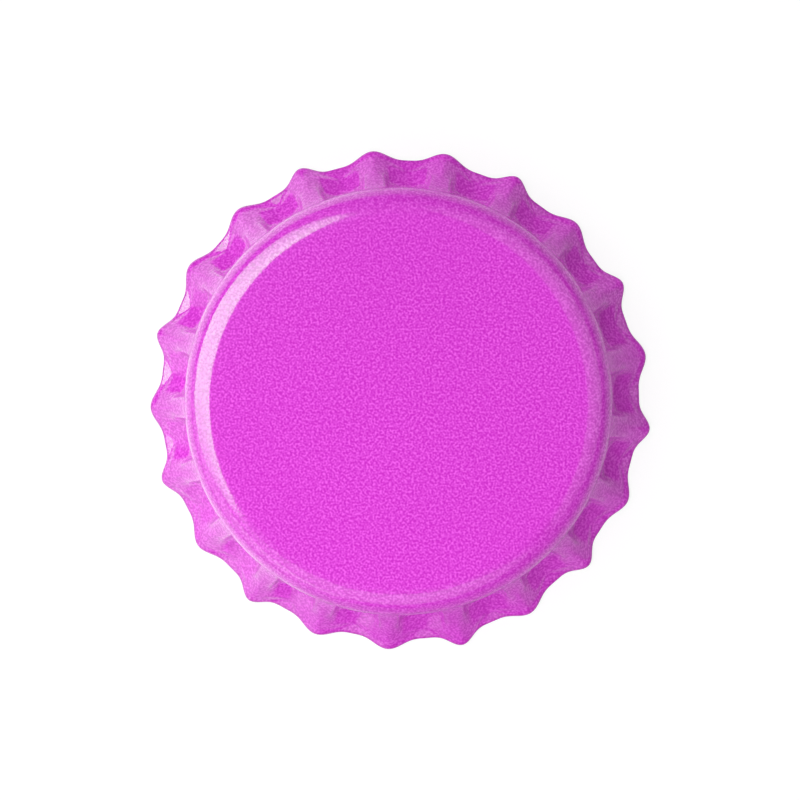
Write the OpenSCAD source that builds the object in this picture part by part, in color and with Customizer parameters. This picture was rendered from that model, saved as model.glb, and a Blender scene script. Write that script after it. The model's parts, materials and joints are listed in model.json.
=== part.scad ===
// Crown bottle cap: a pressed tinplate shell with a fluted skirt, and the moulded liner that seals it.
// Millimetres. The origin is on the axis, in the plane that the rim stands on.
// +Z points out of the top panel.

/* [Shell] */
// Thickness of the tinplate sheet
sheet = 0.235; // [0.18:0.005:0.3]
// Height from the plane that the rim stands on to the top panel
cap_h = 6; // [5.4:0.05:6.6]
// Inside diameter of the straight wall that slips over the bottle's mouth
mouth_d = 26.75; // [26:0.05:28]
// Outside radius of the shoulder between the top panel and the straight wall
shoulder_r = 1.8; // [1.2:0.05:2.4]
// Height of the straight wall between the shoulder and the fluted skirt
wall_h = 0.6; // [0.4:0.05:1]

/* [Flutes] */
// Number of flutes around the skirt
flutes = 21; // [15:1:27]
// How far the valleys flare out past the straight wall at the rim
valley_flare = 1.7; // [1.2:0.05:2.2]
// How far the crests stand out past the valleys at the rim
crest_h = 0.74; // [0.4:0.02:1]
// How much higher the rim's edge is at a crest than in a valley
crest_lift = 0.2; // [0:0.05:0.4]
// Share of the skirt's height over which the valleys run straight down, before they turn outwards
valley_start = 0.54; // [0.4:0.02:0.6]
// How the valleys turn outwards below that: 1 is a straight cone, more is a rounder turn
valley_bend = 1.45; // [1.2:0.05:2]
// How late the crests turn outwards on their way down: 1 is a straight slope
crest_bend = 1.4; // [1.2:0.05:2]
// Half the width of a crest at its neck, where it leaves the straight wall, in shares of the pitch
neck_half = 0.18; // [0.16:0.01:0.2]
// Half the width of the flank on each side of the neck, in shares of the pitch
neck_flank = 0.15; // [0.13:0.01:0.17]
// Share of the skirt's height at which the crests begin to widen
neck_end = 0.45; // [0.3:0.05:0.6]
// Share of the skirt's height at which the crests are widest and their flanks meet
wide_at = 0.86; // [0.8:0.02:0.9]
// Sharpness of the crests where they are widest: 2 is a plain wave, more is a narrower crest
wide_sharpness = 2.2; // [2:0.1:3]
// Sharpness of the crests at the rim
rim_sharpness = 4; // [3:0.25:6]
// Direction of the first crest, in degrees from +X
first_crest = 10.4; // [0:0.1:17]

/* [Liner] */
// Thickness of the liner's web
web_t = 0.4; // [0.25:0.05:0.6]
// Gap between the liner's edge and the shoulder around it
liner_gap = 0.08; // [0.04:0.01:0.2]
// Diameter at the middle of the outer sealing bead
outer_bead_d = 24; // [23:0.1:24.6]
// Width of the outer sealing bead
outer_bead_w = 1.6; // [1:0.1:1.8]
// Depth of the outer sealing bead, from the top panel down
outer_bead_h = 1.2; // [0.9:0.05:1.4]
// Diameter at the middle of the inner sealing lip
inner_lip_d = 20; // [18:0.1:21]
// Width of the inner sealing lip
inner_lip_w = 0.8; // [0.5:0.1:1]
// Depth of the inner sealing lip, from the top panel down
inner_lip_h = 0.85; // [0.7:0.05:1.1]

/* [Hidden] */
$fn = 128;
lacquer = [0.88, 0.29, 0.86];
liner_white = [0.93, 0.92, 0.88];
steps_per_flute = 12;
skirt_rows = 9;
// How deep the skirt's sheet lies inside the wall's two faces at their seam, and how far it runs up into it
seam_tuck = 0.01;
seam_lap = 0.3;
// Step of the differences that give the skirt's slope
slope_step = 0.01;

mouth_r = mouth_d / 2;
wall_r = mouth_r + sheet;
panel_z = cap_h - sheet;
shoulder_z = cap_h - shoulder_r;
skirt_z = shoulder_z - wall_h;
skirt_sheet = sheet - 2 * seam_tuck;
skirt_r = wall_r - seam_tuck;
valley_rim_r = wall_r + valley_flare;
crest_rim_r = valley_rim_r + crest_h;
flute_pitch = 360 / flutes;
skirt_steps = flutes * steps_per_flute;

// How far the sheet's inner edge hangs below its outer edge, where the sheet drops by fall over a run
function hang(fall, run) = skirt_sheet * run / norm([fall, run]);
// Height of the outer edge in a valley, so that the inner edge there is what the cap stands on
valley_run = (valley_rim_r - skirt_r) * valley_bend / (1 - valley_start);
edge_z = hang(skirt_z - hang(skirt_z, valley_run), valley_run);

// From 0 to 1 as x goes from 0 to 1, level at both ends
function smooth_step(x) = let (s = max(min(x, 1), 0)) s * s * (3 - 2 * s);

// How far an angle is from the nearest crest, in pitches: 0 on the crest, a half in the valley
function pitches(angle) = (angle - first_crest) / flute_pitch;
function off_crest(angle) = abs(pitches(angle) - round(pitches(angle)));

// One flute's wave, 1 on the crest and 0 in the valley: a pillar at the neck (t = 0), and further down a rounded
// wave that is narrower again at the rim (t = 1)
function pillar(angle) = smooth_step((neck_half + neck_flank - off_crest(angle)) / (2 * neck_flank));
function sharpness(t) =
    wide_sharpness + (rim_sharpness - wide_sharpness) * pow(max(t - wide_at, 0) / (1 - wide_at), 1.5);
function rounded(angle, t) = pow(cos(180 * off_crest(angle)), sharpness(t));
function widened(t) = smooth_step((t - neck_end) / (wide_at - neck_end));
function wave(angle, t) = pillar(angle) + (rounded(angle, t) - pillar(angle)) * widened(t);

// The skirt's outer face, from the straight wall (t = 0) down to the rim (t = 1)
function turned_out(t) = pow(max(t - valley_start, 0) / (1 - valley_start), valley_bend);
function valley_r(t) = skirt_r + (valley_rim_r - skirt_r) * turned_out(t);
function crest_r(t) = skirt_r + (crest_rim_r - skirt_r) * pow(t, crest_bend);
function face_r(angle, t) = valley_r(t) + (crest_r(t) - valley_r(t)) * wave(angle, t);
function face_z(angle, t) = skirt_z + (edge_z + crest_lift * wave(angle, 1) - skirt_z) * t;
function skirt_face(angle, t) =
    [face_r(angle, t) * cos(angle), face_r(angle, t) * sin(angle), face_z(angle, t)];

// The same point carried through the sheet, square to the outer face
function inward(angle, t) =
    cross(skirt_face(angle + slope_step, t) - skirt_face(angle - slope_step, t),
          skirt_face(angle, t + slope_step) - skirt_face(angle, max(t - slope_step, 0)));
function skirt_back(angle, t) =
    skirt_face(angle, t) + skirt_sheet * inward(angle, t) / norm(inward(angle, t));

// A ring of points around the axis at one step down the sheet, and the ring that runs up into the wall
function ring(t, back) =
    [for (i = [0 : skirt_steps - 1])
        let (angle = first_crest + i * 360 / skirt_steps) back ? skirt_back(angle, t) : skirt_face(angle, t)];
function raised(points) = [for (p = points) [p.x, p.y, skirt_z + seam_lap]];

// Triangles between ring after ring, the last one closing on the first
function ring_faces(rings, steps) =
    [for (j = [0 : rings - 1], i = [0 : steps - 1])
        let (a = j * steps + i,
             b = j * steps + (i + 1) % steps,
             c = ((j + 1) % rings) * steps + (i + 1) % steps,
             d = ((j + 1) % rings) * steps + i)
        each [[a, b, c], [a, c, d]]];

module fluted_skirt() {
    front = [for (k = [0 : skirt_rows]) ring(k / skirt_rows, false)];
    back = [for (k = [skirt_rows : -1 : 0]) ring(k / skirt_rows, true)];
    rings = [raised(front[0]), each front, each back, raised(back[skirt_rows])];
    polyhedron(points = [for (r = rings) each r], faces = ring_faces(len(rings), skirt_steps));
}

// Half the section of a disc of radius r under height top, its upper edge rounded to radius corner
module rounded_section(r, top, corner) {
    translate([0, top - corner])
        square([r - corner, corner]);
    intersection() {
        translate([r - corner, top - corner])
            circle(corner);
        translate([r - corner, top - corner])
            square(corner);
    }
}

// The drawn cup: top panel, shoulder and straight wall in one turned section
module cup() {
    rotate_extrude() {
        difference() {
            rounded_section(wall_r, cap_h, shoulder_r);
            rounded_section(mouth_r, panel_z, shoulder_r - sheet);
        }
        translate([mouth_r, skirt_z])
            square([sheet, wall_h]);
    }
}

module shell() {
    color(lacquer)
        union() {
            cup();
            fluted_skirt();
        }
}

// Half the section of a round-nosed ring that hangs from the panel to the given depth
module bead_section(middle_d, width, depth) {
    translate([middle_d / 2, panel_z - depth + width / 2])
        circle(width / 2);
    translate([middle_d / 2 - width / 2, panel_z - depth + width / 2])
        square([width, max(depth - width / 2, 0)]);
}

module liner() {
    color(liner_white)
        rotate_extrude()
            intersection() {
                rounded_section(mouth_r - liner_gap, panel_z, shoulder_r - sheet - liner_gap);
                union() {
                    translate([0, panel_z - web_t])
                        square([mouth_r, web_t]);
                    bead_section(outer_bead_d, outer_bead_w, outer_bead_h);
                    bead_section(inner_lip_d, inner_lip_w, inner_lip_h);
                }
            }
}

shell();
liner();
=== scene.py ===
# %% [markdown]
# # A crown bottle cap, seen from above
# The cap is one disc of lacquered tinplate, drawn into a cup whose skirt is pressed into flutes, with a
# soft moulded liner inside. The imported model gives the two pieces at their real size. It is loaded
# first and never moved: everything below is made in its frame, in metres, with the axis of the cap on
# Z.

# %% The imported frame
import json
import math

import bpy
import numpy as np
from mathutils import Matrix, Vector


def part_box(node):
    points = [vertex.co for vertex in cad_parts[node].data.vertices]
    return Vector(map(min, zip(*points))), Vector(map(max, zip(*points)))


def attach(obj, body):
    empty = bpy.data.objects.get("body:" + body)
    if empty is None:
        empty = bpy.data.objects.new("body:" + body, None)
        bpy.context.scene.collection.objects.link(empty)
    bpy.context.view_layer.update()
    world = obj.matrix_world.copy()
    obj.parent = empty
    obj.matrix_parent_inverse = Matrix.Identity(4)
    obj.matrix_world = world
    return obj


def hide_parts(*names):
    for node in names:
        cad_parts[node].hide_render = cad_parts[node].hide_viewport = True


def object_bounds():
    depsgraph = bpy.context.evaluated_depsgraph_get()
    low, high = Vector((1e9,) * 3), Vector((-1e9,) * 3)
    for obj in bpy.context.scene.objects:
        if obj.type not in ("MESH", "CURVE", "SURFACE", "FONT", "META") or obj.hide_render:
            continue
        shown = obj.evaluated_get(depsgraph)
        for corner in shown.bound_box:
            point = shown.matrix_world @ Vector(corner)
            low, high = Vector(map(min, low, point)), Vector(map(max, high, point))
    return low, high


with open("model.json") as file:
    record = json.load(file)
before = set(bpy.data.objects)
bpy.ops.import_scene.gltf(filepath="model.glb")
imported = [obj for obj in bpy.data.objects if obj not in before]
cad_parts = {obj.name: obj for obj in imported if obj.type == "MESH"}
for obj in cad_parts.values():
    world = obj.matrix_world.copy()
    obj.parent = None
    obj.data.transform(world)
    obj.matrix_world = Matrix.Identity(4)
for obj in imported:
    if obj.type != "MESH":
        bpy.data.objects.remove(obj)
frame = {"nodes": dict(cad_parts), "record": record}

cad_low, cad_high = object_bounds()
cad_size = cad_high - cad_low
print("nodes:", sorted(frame["nodes"]), "box in mm:", [round(1000 * side, 2) for side in cad_size])

# %% [markdown]
# ## Sizes
# A size that the frame holds is read from it: the bore that the bottle's mouth slips into gives the
# straight wall, and the liner's flat back gives the underside of the top panel. The form of the flutes
# has no such record, so its few numbers are written here. Lengths are in millimetres, ways down the
# skirt are shares of its height, and widths around it are shares of the pitch from flute to flute.

# %% Sizes of the cup and the flutes
MM = 0.001
mouth = next(mount for mount in frame["record"]["mounts"] if mount["name"] == "mouth")

CAP_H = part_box("shell")[1].z
BACK_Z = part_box("liner")[1].z
SHEET = CAP_H - BACK_Z
MOUTH_R = mouth["dims"]["r_mm"] * MM
WALL_R = MOUTH_R + SHEET
WALL_H = mouth["dims"]["length_mm"] * MM
SKIRT_Z = mouth["pos_m"][2] - WALL_H / 2
SHOULDER_R = CAP_H - SKIRT_Z - WALL_H

FLUTES = 21
PITCH = 2 * math.pi / FLUTES
FIRST_CREST = math.radians(10.4)
# At the rim: how far valleys stand out from the wall, crests from the valleys, and how far crests are lifted
VALLEY_FLARE = 1.7 * MM
CREST_RISE = 0.74 * MM
CREST_LIFT = 0.2 * MM
# Valleys turn out from start to knee, in a nearly straight cone, and end in a flatter lip
VALLEY_START, VALLEY_KNEE, VALLEY_BEND = 0.6, 0.9, 1.05
KNEE_OUT = 1.07 * MM
# Crests lean out from the top on, and a little more on the way down
CREST_BEND = 1.4
# A neck's half width, half the width of its flanks, and where it ends
NECK_HALF, NECK_FLANK, NECK_END = 0.18, 0.045, 0.2
# A roof's half width at the neck's end, where it is widest, its half width at the rim, and where that starts
FOOT_HALF, WIDE_AT, RIM_HALF, RIM_FROM = 0.27, 0.88, 0.38, 0.88
ROOF_POWER = 1.25
CREST_ROUND, FOLD_ROUND = 0.03, 0.03
# The inner face has wider flanks and rounder crests, and is then evened out a few times
INNER_FLANK, INNER_CREST_ROUND, INNER_SOFTENING = 0.12, 0.12, 6
EDGE_ROUND = 0.04 * MM
print("sheet", round(SHEET / MM, 3), "shoulder", round(SHOULDER_R / MM, 2), "skirt", round(SKIRT_Z / MM, 2))

# %% [markdown]
# ## The flutes
# Each flute is a ridge that the press folds into the skirt. It leaves the straight wall as a narrow
# pillar, opens along two fold lines into a roof whose flanks meet those of its neighbours, and ends at
# the rim in a rounded wave. The valleys between the ridges run plumb, turn out late in a cone and end
# in a flatter lip. One cosine raised to a power would be shorter, but it has no folds, and the folds
# are what catches the light. No two ridges of a real press are quite alike: the ones in TALL stand
# higher and narrower, the others lower and wider, the ring of punches is a little uneven, and one
# stretch of the rim is bent out.

# %% The wave around the skirt
TALL = (1, 3, 6, 9, 11, 13, 16, 18, 20)
TALL_BY = 0.06 * MM
TALL_SHARPNESS = 4.7
LOW_SHARPNESS = 3.2
UNEVEN_TURN = math.radians(0.3)
BENT_OUT = 0.13 * MM
BENT_AT, BENT_OVER = math.radians(287), math.radians(17)

is_tall = np.isin(np.arange(FLUTES), TALL)
rim_sharpness = np.where(is_tall, TALL_SHARPNESS, LOW_SHARPNESS)
rim_rise = CREST_RISE + np.where(is_tall, TALL_BY, -TALL_BY)


def smooth_step(way):
    """From 0 to 1 over the way from 0 to 1, level at both ends: three squares less two cubes."""
    way = np.clip(way, 0, 1)
    return way * way * (3 - 2 * way)


def flute_wave(angle, down, flank=NECK_FLANK, crest_round=CREST_ROUND):
    """Height on the flute, 1 on a crest and 0 in a valley, and the number of the flute.

    The turn from the first crest is counted in pitches. At the neck the ridge is a pillar: a smooth step
    falls over both flanks. Below it is a roof. The roof's foot opens in straight lines to half a pitch and
    draws in again at the rim, its crest and foot are rounded as hyperbolas, and a power makes its flanks
    hollow. One smooth step blends the pillar into the roof, and another blends the roof into the rim's wave,
    a cosine raised to a power."""
    pitches = (angle - FIRST_CREST - UNEVEN_TURN * np.sin(angle)) / PITCH
    flute = np.rint(pitches).astype(int) % FLUTES
    off_crest = np.abs(pitches - np.rint(pitches))
    pillar = smooth_step((NECK_HALF + flank - off_crest) / (2 * flank))
    base = np.interp(down, (NECK_END, WIDE_AT, 1), (FOOT_HALF, 0.5, RIM_HALF))
    fall = (np.hypot(off_crest, crest_round) - crest_round) / (np.hypot(base, crest_round) - crest_round)
    roof = ((1 - fall + np.hypot(1 - fall, FOLD_ROUND)) / 2) ** ROOF_POWER
    ridge = pillar + (roof - pillar) * smooth_step((down - NECK_END) / (WIDE_AT - NECK_END))
    rounded = np.abs(np.cos(math.pi * pitches)) ** rim_sharpness[flute]
    return ridge + (rounded - ridge) * smooth_step((down - RIM_FROM) / (1 - RIM_FROM)), flute


def skirt_face(angle, down, flank=NECK_FLANK, crest_round=CREST_ROUND):
    """Outer face of the skirt, from the straight wall (down = 0) to the rim (down = 1).

    A valley keeps to the wall, turns out in a cone down to the knee, and goes on as a flatter lip. A crest
    leaves the wall at once, as a power of the way down. The wave carries each point from the valley's radius
    to the crest's, and lifts the rim a little there. A bell curve around one direction adds the rim's bent
    stretch."""
    wave, flute = flute_wave(angle, down, flank, crest_round)
    turn_out = np.clip((down - VALLEY_START) / (VALLEY_KNEE - VALLEY_START), 0, 1) ** VALLEY_BEND
    lip_out = np.clip((down - VALLEY_KNEE) / (1 - VALLEY_KNEE), 0, 1)
    valley = WALL_R + KNEE_OUT * turn_out + (VALLEY_FLARE - KNEE_OUT) * lip_out
    crest = WALL_R + (VALLEY_FLARE + rim_rise[flute]) * down ** CREST_BEND
    from_bend = (angle - BENT_AT + math.pi) % (2 * math.pi) - math.pi
    bent = BENT_OUT * np.exp(-(from_bend / BENT_OVER) ** 2) * down ** 2
    radius = valley + (crest - valley) * wave + bent
    height = SKIRT_Z * (1 - down) + CREST_LIFT * flute_wave(angle, 1.0)[0] * down
    return np.stack([radius * np.cos(angle), radius * np.sin(angle), height], axis=-1)


print("crests at the rim, mm:", np.round((WALL_R + VALLEY_FLARE + rim_rise) / MM, 2).tolist()[:4], "...")

# %% [markdown]
# ## One sheet of metal
# The cup could be a lathe object with the flutes modelled on, but a pressed cap is one sheet of metal.
# So its outer face is one grid of points, ring after ring from the middle of the panel down to the rim,
# and closer together on the lower skirt, where the folds are. The inner face is a softer copy of that
# grid, carried through the sheet square to itself: with folds as sharp as outside, it would cross
# itself. A rounded cut edge joins them.

# %% The outer face, ring by ring
STEPS_PER_FLUTE = 40
PANEL_START, PANEL_RINGS = 0.05, 8
SHOULDER_RINGS = 16
WALL_RINGS = 3
UPPER_RINGS, LOWER_RINGS = 10, 21
EDGE_RINGS = 5

angles = FIRST_CREST + np.arange(FLUTES * STEPS_PER_FLUTE) * PITCH / STEPS_PER_FLUTE


def turned(radius, height, angles):
    """A profile turned about the axis: each of its points becomes a ring of that radius at that height."""
    return np.stack([
        np.outer(radius, np.cos(angles)),
        np.outer(radius, np.sin(angles)),
        np.outer(height, np.ones_like(angles))], axis=-1)


def cup_profile():
    """Radius and height from the panel to the wall: a level line, a quarter circle and a plumb line."""
    flat_r = WALL_R - SHOULDER_R
    panel_r = flat_r * np.linspace(PANEL_START, 1, PANEL_RINGS)[:-1]
    bend = np.linspace(0, math.pi / 2, SHOULDER_RINGS)
    wall_z = SKIRT_Z + WALL_H * np.linspace(1, 0, WALL_RINGS + 1)[1:-1]
    radius = np.concatenate([panel_r, flat_r + SHOULDER_R * np.sin(bend), np.full_like(wall_z, WALL_R)])
    height = np.concatenate([np.full_like(panel_r, CAP_H), CAP_H - SHOULDER_R * (1 - np.cos(bend)), wall_z])
    return radius, height


def surface_normals(rings):
    """Unit normals of a grid of closed rings: the way down crossed with the way round."""
    way_round = np.roll(rings, -1, axis=1) - np.roll(rings, 1, axis=1)
    way_down = np.gradient(rings, axis=0)
    normals = np.cross(way_down, way_round)
    return normals / np.linalg.norm(normals, axis=2, keepdims=True)


cup_rings = turned(*cup_profile(), angles)
ways_down = np.concatenate([np.linspace(0, 0.5, UPPER_RINGS)[:-1], np.linspace(0.5, 1, LOWER_RINGS)])
down, around = np.meshgrid(ways_down, angles, indexing="ij")
outer = np.concatenate([cup_rings, skirt_face(around, down)])
print("outer face:", outer.shape[0], "rings of", outer.shape[1], "points")

# %% The inner face, softened and carried through the sheet
soft_skirt = skirt_face(around, down, INNER_FLANK, INNER_CREST_ROUND)
for softening in range(INNER_SOFTENING):
    soft_skirt[1:-1] = (soft_skirt[:-2] + 2 * soft_skirt[1:-1] + soft_skirt[2:]) / 4
soft = np.concatenate([cup_rings, soft_skirt])
inner = soft - SHEET * surface_normals(soft)
print("inner face evened out", INNER_SOFTENING, "times")

# %% [markdown]
# ## The cut edge
# The press cuts the disc out before it is drawn, so the rim shows the bare end of the sheet. Half an
# ellipse between the two faces gives that edge a small roundness that catches the light, as a sheared
# edge does. The skirt is then stretched by a hair, so that its lowest point stands on the floor.

# %% The rim's rounded edge, and the rings in order
middle = (outer[-1] + inner[-1]) / 2
half_sheet = (outer[-1] - inner[-1]) / 2
outwards = outer[-1] - outer[-2]
outwards = outwards / np.linalg.norm(outwards, axis=1, keepdims=True)
swing = np.linspace(0, math.pi, EDGE_RINGS + 2)[1:-1, None, None]
edge = middle + np.cos(swing) * half_sheet + EDGE_ROUND * np.sin(swing) * outwards

sheet_rings = np.concatenate([outer, edge, inner[::-1]])
lowest = sheet_rings[..., 2].min()
under_wall = sheet_rings[..., 2] < SKIRT_Z
stand = SKIRT_Z / (SKIRT_Z - lowest)
stretched = SKIRT_Z - (SKIRT_Z - sheet_rings[..., 2]) * stand
sheet_rings[..., 2] = np.where(under_wall, stretched, sheet_rings[..., 2])
rim_z = float(sheet_rings[..., 2].min())
print("rings in all:", len(sheet_rings), "the rim stands at", round(rim_z / MM, 4), "mm")

# %% [markdown]
# ## From rings to a mesh
# A mesh needs points and faces. Neighbouring rings are joined by four-sided faces, and at each end of
# the row a point on the axis closes the surface with a fan. The whole arrays go to Blender at once. An
# unrolled map, turn by way along the sheet, goes with it, so that a finish can follow the metal where
# it was drawn.

# %% A mesh from rings


def ring_faces(count, steps):
    """Ring and turn of the four corners of each face, and the triangles that close both ends.

    Corner j of ring i is point i * steps + j. A face joins j and j + 1, modulo the steps, on two neighbours.
    The two points on the axis come after those of all the rings."""
    i, j = np.meshgrid(np.arange(count - 1), np.arange(steps), indexing="ij")
    ring = np.stack([i, i + 1, i + 1, i], axis=-1)
    turn = np.stack([j, j, j + 1, j + 1], axis=-1)
    first = np.arange(steps)
    following = (first + 1) % steps
    last = (count - 1) * steps
    start_fan = np.stack([np.full(steps, count * steps), first, following], axis=-1)
    end_fan = np.stack([last + first, np.full(steps, count * steps + 1), last + following], axis=-1)
    return ring, turn, np.concatenate([start_fan, end_fan])


def unrolled_map(rings, ring, turn):
    """Place of every corner on the unrolled sheet: the turn across, and the mean way along it upwards."""
    steps = rings.shape[1]
    along = np.linalg.norm(np.diff(rings, axis=0), axis=2).mean(axis=1)
    along = np.concatenate([[0], np.cumsum(along)])
    first = np.arange(steps)
    pole_turn = first + 0.5
    sides = np.stack([turn / steps, along[ring] / along[-1]], axis=-1)
    start = np.stack([np.stack([pole_turn, first, first + 1], -1) / steps, np.zeros((steps, 3))], -1)
    end = np.stack([np.stack([first, pole_turn, first + 1], -1) / steps, np.ones((steps, 3))], -1)
    return np.concatenate([part.reshape(-1, 2) for part in (sides, start, end)])


def ring_mesh(name, rings, finishes):
    """A closed mesh from rings of points; finishes gives each gap between two rings its material."""
    count, steps = rings.shape[:2]
    poles = np.zeros((2, 3))
    poles[:, 2] = rings[0, :, 2].mean(), rings[-1, :, 2].mean()
    points = np.concatenate([rings.reshape(-1, 3), poles])
    ring, turn, fans = ring_faces(count, steps)
    quads = (ring * steps + turn % steps).reshape(-1, 4)
    corners = np.concatenate([quads.ravel(), fans.ravel()])
    sizes = np.concatenate([np.full(len(quads), 4), np.full(len(fans), 3)])
    numbers = np.repeat([*finishes, finishes[0], finishes[-1]], steps)

    mesh = bpy.data.meshes.new(name)
    mesh.vertices.add(len(points))
    mesh.vertices.foreach_set("co", points.astype(np.float32).ravel())
    mesh.loops.add(len(corners))
    mesh.loops.foreach_set("vertex_index", corners.astype(np.int32))
    mesh.polygons.add(len(sizes))
    mesh.polygons.foreach_set("loop_start", (np.cumsum(sizes) - sizes).astype(np.int32))
    mesh.polygons.foreach_set("material_index", numbers.astype(np.int32))
    mesh.polygons.foreach_set("use_smooth", np.ones(len(sizes), bool))
    unrolled = unrolled_map(rings, ring, turn)
    mesh.uv_layers.new(name="unrolled").data.foreach_set("uv", unrolled.astype(np.float32).ravel())
    mesh.update(calc_edges=True)
    mesh.validate()
    piece = bpy.data.objects.new(name, mesh)
    bpy.context.scene.collection.objects.link(piece)
    print(name, len(mesh.vertices), "points", len(mesh.polygons), "faces")
    return piece


# %% The shell's mesh
LACQUERED, TINPLATE, CUT = 0, 1, 2
outer_gaps = len(outer)
inner_gaps = len(sheet_rings) - 1 - outer_gaps - EDGE_RINGS
sheet_finishes = np.repeat([LACQUERED, CUT, TINPLATE], [outer_gaps, EDGE_RINGS, inner_gaps])
shell = ring_mesh("crown_shell", sheet_rings, sheet_finishes)

# %% [markdown]
# The rim needs its own mark on the sheet. An attribute on the points counts down from 1 at the cut edge to 0
# a little
# # way up the skirt, and the lacquer uses it for painted shade: darker along the rim.

# %% A mark that fades up from the cut edge
EDGE_FADE = 0.25 * MM

# Painted shade: this mark darkens the lacquer towards the cut edge, along the rim
from_edge = np.linalg.norm(outer - outer[-1], axis=2)
outer_mark = np.clip(1 - from_edge / EDGE_FADE, 0, 1)
rim_shade_mark = np.concatenate([outer_mark, np.ones(edge.shape[:2]), outer_mark[::-1]]).ravel()
pole_marks = [0, 0]
rim_shade_mark = np.concatenate([rim_shade_mark, pole_marks])
mark = shell.data.attributes.new("cut_edge", "FLOAT", "POINT")
mark.data.foreach_set("value", rim_shade_mark.astype(np.float32))
print("points near the cut edge:", int((rim_shade_mark > 0).sum()))

# %% [markdown]
# ## The liner
# The seal is dropped into the cap as a soft bead of polymer and stamped by a punch: a thin web, a round
# outer bead that the bottle's lip presses on, and a low inner lip. It is a turned form, so one profile
# does it: level lines for the web and the back, half an ellipse for each ring, and an arc that fits
# into the shoulder.

# %% The liner's profile
WEB = 0.4 * MM
WEB_START = 0.5 * MM
LINER_GAP = 0.08 * MM
BEAD_R, BEAD_W, BEAD_H = 12.0 * MM, 1.6 * MM, 1.2 * MM
LIP_R, LIP_W, LIP_H = 10.0 * MM, 0.8 * MM, 0.85 * MM
WEB_RINGS, LIP_RINGS, BEAD_RINGS, BEND_RINGS, BACK_RINGS = 6, 13, 21, 10, 5
LINER_STEPS = 360


def round_nose(radius, middle, width, height):
    """Depth of a round-nosed ring below the web: half an ellipse across its width, 0 beyond it."""
    across = np.clip(np.abs(radius - middle) / (width / 2), 0, 1)
    return (height - WEB) * np.sqrt(1 - across ** 2)


def liner_profile():
    """Radius and height from the middle of the face, over lip and bead, round the edge and back behind."""
    edge_r = MOUTH_R - LINER_GAP
    corner = SHOULDER_R - SHEET - LINER_GAP
    bead_out = BEAD_R + BEAD_W / 2
    rising = math.asin((bead_out - edge_r + corner) / corner)
    face_r = np.concatenate([
        np.linspace(WEB_START, LIP_R - LIP_W / 2, WEB_RINGS)[:-1],
        LIP_R - LIP_W / 2 * np.cos(np.linspace(0, math.pi, LIP_RINGS)),
        BEAD_R - BEAD_W / 2 * np.cos(np.linspace(0, math.pi, BEAD_RINGS))])
    face_z = BACK_Z - WEB
    face_z = face_z - round_nose(face_r, LIP_R, LIP_W, LIP_H) - round_nose(face_r, BEAD_R, BEAD_W, BEAD_H)
    bend = np.linspace(rising, 0, BEND_RINGS)
    bend_r = edge_r - corner + corner * np.sin(bend)
    bend_z = BACK_Z - corner * (1 - np.cos(bend))
    back_r = np.linspace(edge_r - corner, 0, BACK_RINGS)[1:-1]
    back_z = np.full_like(back_r, BACK_Z)
    return np.concatenate([face_r, bend_r, back_r]), np.concatenate([face_z, bend_z, back_z])


liner_r, liner_z = liner_profile()
turns = np.arange(LINER_STEPS) * 2 * math.pi / LINER_STEPS
liner_rings = turned(liner_r, liner_z, -turns)
liner = ring_mesh("sealing_liner", liner_rings, np.zeros(len(liner_rings) - 1, int))
print("liner, mm:", [round(float(v) / MM, 2) for v in (liner_r.max(), liner_z.min(), liner_z.max())])

# %% [markdown]
# ## Finishes
# Every finish is a small node tree. These helpers start one and add single nodes to it, so that each
# finish below shows only what is its own. A value that is the same all over is set on the shader
# itself.

# %% Helpers for a new finish
# Nearly all of a noise lies between these two values
NOISE_LOW, NOISE_HIGH = 0.3, 0.7


def new_finish(name, **settings):
    """An empty material with one Principled shader, its sockets set by name, spaces as underscores."""
    material = bpy.data.materials.new(name)
    material.use_nodes = True
    tree = material.node_tree
    tree.nodes.clear()
    shader = tree.nodes.new("ShaderNodeBsdfPrincipled")
    output = tree.nodes.new("ShaderNodeOutputMaterial")
    tree.links.new(shader.outputs["BSDF"], output.inputs["Surface"])
    for socket, value in settings.items():
        shader.inputs[socket.replace("_", " ")].default_value = value
    return material, tree, shader


def noise(tree, coordinates, scale, detail=2.0, roughness=0.5, stretch=(1, 1, 1), turn=0.0):
    """Noise of about one cell in 1 / scale of the coordinates, squeezed along the axes, turned about Z."""
    mapping = tree.nodes.new("ShaderNodeMapping")
    mapping.inputs["Scale"].default_value = stretch
    mapping.inputs["Rotation"].default_value = (0, 0, turn)
    tree.links.new(coordinates, mapping.inputs["Vector"])
    texture = tree.nodes.new("ShaderNodeTexNoise")
    texture.inputs["Scale"].default_value = scale
    texture.inputs["Detail"].default_value = detail
    texture.inputs["Roughness"].default_value = roughness
    tree.links.new(mapping.outputs["Vector"], texture.inputs["Vector"])
    return texture.outputs["Fac"]


def worked_out(tree, operation, first, second):
    """One sum on two values, such as MULTIPLY; each is a plain number or another node's output."""
    node = tree.nodes.new("ShaderNodeMath")
    node.operation = operation
    for socket, value in zip(node.inputs, (first, second)):
        if isinstance(value, (int, float)):
            socket.default_value = value
        else:
            tree.links.new(value, socket)
    return node.outputs["Value"]


def remapped(tree, value, low, high, to_low, to_high):
    """A value carried from one range to another, held at both ends."""
    node = tree.nodes.new("ShaderNodeMapRange")
    node.inputs["From Min"].default_value = low
    node.inputs["From Max"].default_value = high
    node.inputs["To Min"].default_value = to_low
    node.inputs["To Max"].default_value = to_high
    tree.links.new(value, node.inputs["Value"])
    return node.outputs["Result"]


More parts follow.
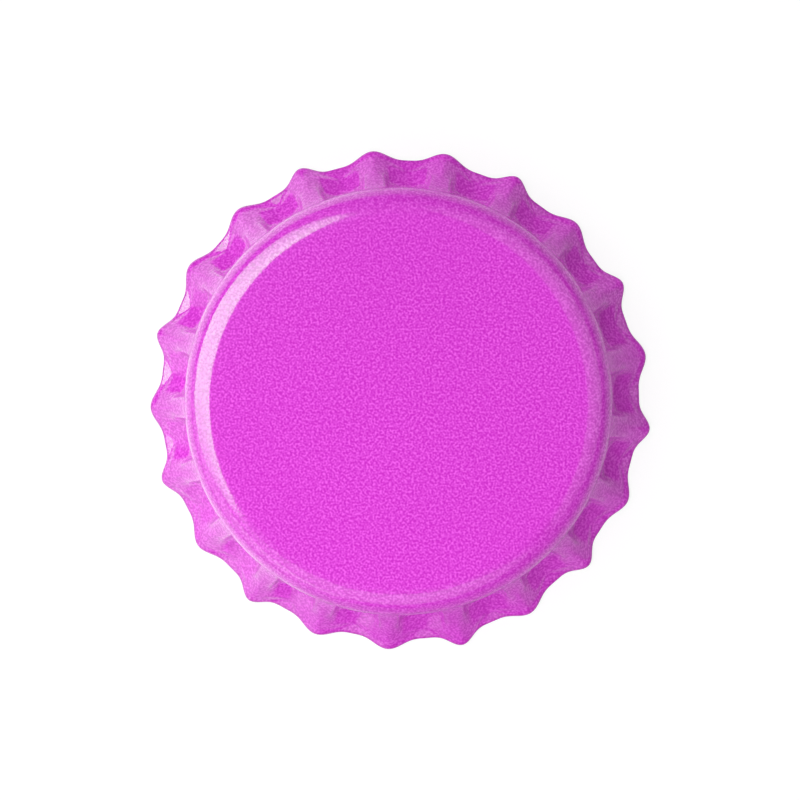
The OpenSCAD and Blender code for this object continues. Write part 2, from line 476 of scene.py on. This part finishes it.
def mixed(tree, factor, first, second):
    """A blend from the first colour to the second; each is a plain colour or another node's output."""
    node = tree.nodes.new("ShaderNodeMix")
    node.data_type = "RGBA"
    tree.links.new(factor, node.inputs["Factor"])
    for socket, colour in (("A", first), ("B", second)):
        target = next(s for s in node.inputs if s.name == socket and s.type == "RGBA")
        if isinstance(colour, tuple):
            target.default_value = (*colour, 1)
        else:
            tree.links.new(colour, target)
    return next(s for s in node.outputs if s.type == "RGBA")


def toned(tree, value, first, second):
    """A blend of two colours that follows a noise over its whole range."""
    return mixed(tree, remapped(tree, value, NOISE_LOW, NOISE_HIGH, 0, 1), first, second)


def bumped(tree, height, depth, strength):
    """A normal from a height map whose full range is depth metres."""
    node = tree.nodes.new("ShaderNodeBump")
    node.inputs["Strength"].default_value = strength
    node.inputs["Distance"].default_value = depth
    tree.links.new(height, node.inputs["Height"])
    return node.outputs["Normal"]


print("noise is read from", NOISE_LOW, "to", NOISE_HIGH)

# %% [markdown]
# ### Magenta lacquer
# The sheet is rolled with lacquer and stoved while it is flat, which leaves a fine mottle: the film is
# a little thicker and thinner about every 0.14 mm. It shows as grain in the colour and as orange peel
# in the shine. Both come from the same grain, so a thick spot is darker and stands higher, as it is on
# the metal. A single noise shows its square cells, so the grain is the mean of two, one of them turned.
# The sheen leans to green, the colour that the film itself lacks, so that a bright reflection comes out
# nearly white and not pink.

# %% The lacquer
GRAINS_IN_HEIGHT = 42
GRAIN = GRAINS_IN_HEIGHT / CAP_H
GRAIN_TURN = math.radians(40)
GRAIN_LOW, GRAIN_MIDDLE, GRAIN_HIGH = 0.34, 0.5, 0.64
CLOUD = 1 / (9 * MM)
CLOUD_SHARE = 0.12
# Painted shade along the rim: how much, and towards which dark colour, the lacquer darkens at the cut edge
RIM_SHADE_SHARE = 0.35
SHEEN_TINT = (0.4, 1, 0.4, 1)
THIN_FILM = (0.96, 0.128, 0.92)
MIDDLE_FILM = (0.8, 0.055, 0.76)
THICK_FILM = (0.7, 0.022, 0.66)
CLOUDED_FILM = (0.66, 0.02, 0.62)
RIM_SHADE_FILM = (0.42, 0.012, 0.38)


def lacquer_finish():
    """Colour from thin to thick film, clouded, with painted shade darker at the cut edge, and a bump from
    the same grain.
    """
    material, tree, shader = new_finish("magenta_lacquer", IOR=1.6, Specular_Tint=SHEEN_TINT)
    place = tree.nodes.new("ShaderNodeTexCoord").outputs["Object"]
    straight = noise(tree, place, GRAIN, 0.0)
    turned_noise = noise(tree, place, GRAIN, 0.0, turn=GRAIN_TURN)
    grain = worked_out(tree, "MULTIPLY", worked_out(tree, "ADD", straight, turned_noise), 0.5)
    thinner = remapped(tree, grain, GRAIN_LOW, GRAIN_MIDDLE, 0, 1)
    thicker = remapped(tree, grain, GRAIN_MIDDLE, GRAIN_HIGH, 0, 1)
    film = mixed(tree, thicker, mixed(tree, thinner, THIN_FILM, MIDDLE_FILM), THICK_FILM)
    cloud = remapped(tree, noise(tree, place, CLOUD, 2.0), NOISE_LOW, NOISE_HIGH, 0, CLOUD_SHARE)
    clouded = mixed(tree, cloud, film, CLOUDED_FILM)
    # Painted shade: the lacquer is darker towards the cut edge, along the rim
    rim_shade_mark = tree.nodes.new("ShaderNodeAttribute")
    rim_shade_mark.attribute_name = "cut_edge"
    rim_shade = remapped(tree, rim_shade_mark.outputs["Fac"], 0, 1, 0, RIM_SHADE_SHARE)
    tree.links.new(mixed(tree, rim_shade, clouded, RIM_SHADE_FILM), shader.inputs["Base Color"])
    tree.links.new(remapped(tree, grain, 0.36, 0.64, 0.09, 0.13), shader.inputs["Roughness"])
    tree.links.new(bumped(tree, grain, 0.02 * MM, 0.1), shader.inputs["Normal"])
    return material


lacquer = lacquer_finish()
print("lacquer nodes:", len(lacquer.node_tree.nodes))

# %% [markdown]
# ### Tinplate, cut steel and liner
# Inside, the sheet has only a clear varnish, so the tin shows: silver, with rolling lines and with
# streaks where the press drew the metal down the flutes. The cut edge is bare steel. The liner is an
# off-white polymer, soft and a little cloudy, with a fine matt grain from the punch.

# %% The inside, the edge and the liner
STREAK = (420, 6, 1)
ROLLING = (1 / (0.15 * MM), 1 / (6 * MM), 1 / (6 * MM))
TIN_DARK, TIN_PALE = (0.66, 0.65, 0.63), (0.78, 0.77, 0.74)
TORN = 1 / (0.06 * MM)
STEEL_DARK, STEEL_PALE = (0.42, 0.41, 0.4), (0.6, 0.59, 0.57)
POLYMER_CLOUD = 1 / (1.5 * MM)
POLYMER_GRAIN = 1 / (0.12 * MM)
POLYMER_PALE, POLYMER_DIM = (0.86, 0.85, 0.8), (0.8, 0.79, 0.73)
FINE_BUMP = 0.01 * MM


def tinplate_finish():
    """Metal whose grey follows the rolling lines, with drawn streaks along the unrolled sheet."""
    material, tree, shader = new_finish(
        "bright_tinplate", Metallic=1.0, Coat_Weight=0.4, Coat_Roughness=0.15)
    coordinates = tree.nodes.new("ShaderNodeTexCoord")
    lines = noise(tree, coordinates.outputs["Object"], 1.0, 3.0, 0.6, ROLLING)
    streaks = noise(tree, coordinates.outputs["UV"], 1.0, 2.0, 0.5, STREAK)
    tree.links.new(toned(tree, lines, TIN_DARK, TIN_PALE), shader.inputs["Base Color"])
    tree.links.new(remapped(tree, streaks, NOISE_LOW, NOISE_HIGH, 0.26, 0.4), shader.inputs["Roughness"])
    tree.links.new(bumped(tree, streaks, FINE_BUMP, 0.3), shader.inputs["Normal"])
    return material


def cut_steel_finish():
    """Bare metal with a fine torn grain from the shear."""
    material, tree, shader = new_finish("cut_steel", Metallic=1.0)
    place = tree.nodes.new("ShaderNodeTexCoord").outputs["Object"]
    tear = noise(tree, place, TORN, 3.0, 0.6)
    tree.links.new(toned(tree, tear, STEEL_DARK, STEEL_PALE), shader.inputs["Base Color"])
    tree.links.new(remapped(tree, tear, NOISE_LOW, NOISE_HIGH, 0.3, 0.5), shader.inputs["Roughness"])
    tree.links.new(bumped(tree, tear, FINE_BUMP, 0.4), shader.inputs["Normal"])
    return material


def liner_finish():
    """Cloudy white polymer with a low, broad sheen and a fine matt grain."""
    material, tree, shader = new_finish("soft_polymer", Subsurface_Weight=0.25, Subsurface_Scale=0.4 * MM)
    place = tree.nodes.new("ShaderNodeTexCoord").outputs["Object"]
    cloud = noise(tree, place, POLYMER_CLOUD, 3.0)
    fine = noise(tree, place, POLYMER_GRAIN, 2.0)
    tree.links.new(toned(tree, cloud, POLYMER_PALE, POLYMER_DIM), shader.inputs["Base Color"])
    tree.links.new(remapped(tree, fine, NOISE_LOW, NOISE_HIGH, 0.38, 0.55), shader.inputs["Roughness"])
    tree.links.new(bumped(tree, fine, FINE_BUMP, 0.3), shader.inputs["Normal"])
    return material


for finish in (lacquer, tinplate_finish(), cut_steel_finish()):
    shell.data.materials.append(finish)
liner.data.materials.append(liner_finish())
print("finishes:", [m.name for m in shell.data.materials] + [m.name for m in liner.data.materials])

# %% [markdown]
# ## Into the frame
# Each piece rides on the cap's one body, and the node of the imported model that it stands for is hidden.

# %% Riding and replacing
for piece, node, slot in ((shell, "shell", "lacquer"), (liner, "liner", "liner")):
    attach(piece, "root")
    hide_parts(node)
    print(piece.name, "stands for", node)

# %% [markdown]
# ## Floor
# The cap lies on a white sheet. Lit by the lamps alone, such a sheet would come out grey, so for rays
# from the camera, and for reflections, most of its white is its own glow and the rest is lit: the
# shadow stays on it. What the lacquer mirrors decides how pale the flutes look, so the mirrored glow is
# stronger on the softbox's side, falls off away from the cap and is dimmer in a patch in front. From
# below the sheet is clear, so that the underside can be looked at.

# %% Shaders for the floor


def distance_from(tree, place, spot):
    """How far a place is from a spot, in metres."""
    apart = tree.nodes.new("ShaderNodeVectorMath")
    apart.operation = "DISTANCE"
    tree.links.new(place, apart.inputs[0])
    apart.inputs[1].default_value = spot
    return apart.outputs["Value"]


def white(tree, level, glow):
    """A lit white of one level with a glow added; the glow is a plain number or another node's output."""
    lit = tree.nodes.new("ShaderNodeBsdfDiffuse")
    lit.inputs["Color"].default_value = (level, level, level, 1)
    glowing = tree.nodes.new("ShaderNodeEmission")
    if isinstance(glow, (int, float)):
        glowing.inputs["Strength"].default_value = glow
    else:
        tree.links.new(glow, glowing.inputs["Strength"])
    both = tree.nodes.new("ShaderNodeAddShader")
    tree.links.new(lit.outputs["BSDF"], both.inputs[0])
    tree.links.new(glowing.outputs["Emission"], both.inputs[1])
    return both.outputs["Shader"]


def either(tree, factor, first, second):
    """The first shader where the factor is 0, the second where it is 1."""
    mix = tree.nodes.new("ShaderNodeMixShader")
    tree.links.new(factor, mix.inputs["Fac"])
    tree.links.new(first, mix.inputs[1])
    tree.links.new(second, mix.inputs[2])
    return mix.outputs["Shader"]


# %% A white floor that keeps the shadow
FLOOR_SIZE = 2.0
BOUNCE_WHITE = 0.92
SEEN_GLOW, SEEN_WHITE = 0.8, 0.26
MIRRORED_GLOW, MIRRORED_WHITE = 0.55, 0.2
# Across the floor the glow goes from the lit side's level down to the plain one
LIT_SIDE, FAR_SIDE, LIT_GLOW = -13 * MM, 1 * MM, 1.8
# Around a spot left of the cap it falls to a small share
POOL_X, NEAR, FAR, FAR_SHARE = -12 * MM, 33 * MM, 80 * MM, 0.1
# In front of the cap it is dimmed
DIM_Y, DIM_NEAR, DIM_FAR, DIM_SHARE = -32 * MM, 14 * MM, 22 * MM, 0.4


def floor_finish():
    """Plain white for bounced light; glow plus a lit white for what is seen and for what is mirrored."""
    material = bpy.data.materials.new("white_floor")
    material.use_nodes = True
    tree = material.node_tree
    tree.nodes.clear()
    place = tree.nodes.new("ShaderNodeTexCoord").outputs["Object"]
    along = tree.nodes.new("ShaderNodeSeparateXYZ")
    tree.links.new(place, along.inputs["Vector"])
    side = remapped(tree, along.outputs["X"], LIT_SIDE, FAR_SIDE, LIT_GLOW, MIRRORED_GLOW)
    near = remapped(tree, distance_from(tree, place, (POOL_X, 0, 0)), NEAR, FAR, 1, FAR_SHARE)
    front = remapped(tree, distance_from(tree, place, (0, DIM_Y, 0)), DIM_NEAR, DIM_FAR, DIM_SHARE, 1)
    mirrored_glow = worked_out(tree, "MULTIPLY", worked_out(tree, "MULTIPLY", side, near), front)

    path = tree.nodes.new("ShaderNodeLightPath")
    shown = white(tree, BOUNCE_WHITE, 0)
    for kind in ("Is Glossy Ray", "Is Transmission Ray"):
        shown = either(tree, path.outputs[kind], shown, white(tree, MIRRORED_WHITE, mirrored_glow))
    shown = either(tree, path.outputs["Is Camera Ray"], shown, white(tree, SEEN_WHITE, SEEN_GLOW))
    clear = tree.nodes.new("ShaderNodeBsdfTransparent").outputs["BSDF"]
    shown = either(tree, tree.nodes.new("ShaderNodeNewGeometry").outputs["Backfacing"], shown, clear)
    output = tree.nodes.new("ShaderNodeOutputMaterial")
    tree.links.new(shown, output.inputs["Surface"])
    return material


half = FLOOR_SIZE / 2
floor_corners = [(-half, -half, 0), (half, -half, 0), (half, half, 0), (-half, half, 0)]
floor_mesh = bpy.data.meshes.new("floor")
floor_mesh.from_pydata(floor_corners, [], [(0, 1, 2, 3)])
floor_mesh.materials.append(floor_finish())
floor = bpy.data.objects.new("floor", floor_mesh)
bpy.context.scene.collection.objects.link(floor)
print("floor:", FLOOR_SIZE, "m square")

# %% [markdown]
# ## Light
# Each lamp does one of two jobs. Those named light give the light that the colours are seen in, and
# don't show in reflections. Those named shine show only as reflections: an oval on the left that is the
# long pale arc on the shoulder, a weaker one on the right, one in front, and a low card at the lower
# left. The room between them is dim, so that the flat panel, which mirrors the ceiling, keeps its
# colour. A lamp is given by the direction that it shines from and by its radiance, because that is what
# a reflection shows.

# %% One lamp
SHINE_CORE, SHINE_BORDER = 0.25, 0.3
SHINE_DISTANCE = 0.6


def fade_to_sides(lamp):
    """Full strength over the core of a lamp's width, falling evenly to the border's share at both sides."""
    lamp.use_nodes = True
    tree = lamp.node_tree
    place = tree.nodes.new("ShaderNodeNewGeometry").outputs["Parametric"]
    middle = tree.nodes.new("ShaderNodeMapping")
    middle.inputs["Location"].default_value = (-1, 0, 0)
    middle.inputs["Scale"].default_value = (2, 0, 0)
    tree.links.new(place, middle.inputs["Vector"])
    out = tree.nodes.new("ShaderNodeVectorMath")
    out.operation = "LENGTH"
    tree.links.new(middle.outputs["Vector"], out.inputs[0])
    fade = remapped(tree, out.outputs["Value"], SHINE_CORE, 1, 1, SHINE_BORDER)
    tree.links.new(fade, tree.nodes["Emission"].inputs["Strength"])


def softbox(name, azimuth, elevation, across, upright, radiance, distance=SHINE_DISTANCE, shine=False):
    """An oval lamp facing the cap; its direction and the angles that it fills are in degrees.

    Each size is twice the distance times the tangent of half the angle, and the power is pi times the area
    times the radiance."""
    turn, rise = math.radians(azimuth), math.radians(elevation)
    lamp = bpy.data.lights.new(name, "AREA")
    lamp.shape = "ELLIPSE"
    lamp.size = 2 * distance * math.tan(math.radians(across / 2))
    lamp.size_y = 2 * distance * math.tan(math.radians(upright / 2))
    lamp.energy = radiance * math.pi * (math.pi / 4 * lamp.size * lamp.size_y)
    if shine:
        fade_to_sides(lamp)
    holder = bpy.data.objects.new(name, lamp)
    holder.location = (
        distance * math.cos(rise) * math.cos(turn),
        distance * math.cos(rise) * math.sin(turn),
        distance * math.sin(rise))
    holder.rotation_euler = (math.pi / 2 - rise, 0, turn + math.pi / 2)
    holder.visible_camera = False
    holder.visible_diffuse = not shine
    holder.visible_glossy = shine
    bpy.context.scene.collection.objects.link(holder)
    print(name, "energy", round(lamp.energy, 3))


# %% Lamps and room
ROOM_LIGHT = 0.2

softbox("left_light", azimuth=138, elevation=47, across=72, upright=74, radiance=1.4, distance=0.25)
softbox("right_light", azimuth=10, elevation=40, across=80, upright=60, radiance=0.2, distance=0.5)
softbox("near_light", azimuth=248, elevation=56, across=60, upright=40, radiance=2.5, distance=0.1)
softbox("left_shine", azimuth=163, elevation=45, across=72, upright=67, radiance=8.3, shine=True)
softbox("right_shine", azimuth=20, elevation=46.5, across=96, upright=62, radiance=1.05, shine=True)
softbox("front_shine", azimuth=258, elevation=39, across=84, upright=48, radiance=1.5, shine=True)
softbox("low_shine", azimuth=212, elevation=12, across=90, upright=36, radiance=2.0, shine=True)

world = bpy.data.worlds.new("room")
world.use_nodes = True
background = world.node_tree.nodes["Background"]
background.inputs["Color"].default_value = (1, 1, 1, 1)
background.inputs["Strength"].default_value = ROOM_LIGHT
bpy.context.scene.world = world
print("room light:", ROOM_LIGHT)

# %% [markdown]
# ## Camera
# The view is almost straight down, from a little to the right and up, so that slightly more of the
# skirt shows at the lower left. The distance and the lens together make one millimetre at the rim as
# large as it should be.

# %% The camera
CAMERA_DISTANCE = 0.485
CAMERA_TILT = math.radians(2.3)
CAMERA_SIDE = math.radians(55)
SENSOR_WIDTH = 36.0
IMAGE_SIDE = 800
PIXELS_PER_MM = 15.6
RIM_CENTRE_PIXEL = (399.93, 399.37)


def looking_down():
    """The camera's own axes: back towards it, right square to image-up and back, and up square to both."""
    back = np.array([
        math.sin(CAMERA_TILT) * math.cos(CAMERA_SIDE),
        math.sin(CAMERA_TILT) * math.sin(CAMERA_SIDE),
        math.cos(CAMERA_TILT)])
    right = np.cross((0, 1, 0), back)
    right = right / np.linalg.norm(right)
    up = np.cross(back, right)
    return right, up, back


right, up, back = looking_down()
half_frame = IMAGE_SIDE / 2
off_centre = (half_frame - RIM_CENTRE_PIXEL[0]) * right - (half_frame - RIM_CENTRE_PIXEL[1]) * up
target = off_centre * MM / PIXELS_PER_MM
position = target + CAMERA_DISTANCE * back

camera_data = bpy.data.cameras.new("camera")
camera_data.sensor_width = SENSOR_WIDTH
camera_data.lens = SENSOR_WIDTH * CAMERA_DISTANCE * PIXELS_PER_MM / (MM * IMAGE_SIDE)
camera = bpy.data.objects.new("camera", camera_data)
axes = np.eye(4)
axes[:3] = np.stack([right, up, back, position], axis=1)
camera.matrix_world = Matrix(axes.tolist())
bpy.context.scene.collection.objects.link(camera)
bpy.context.scene.camera = camera
bpy.context.scene.view_settings.view_transform = "Standard"
print("lens", round(camera_data.lens, 1), "mm")
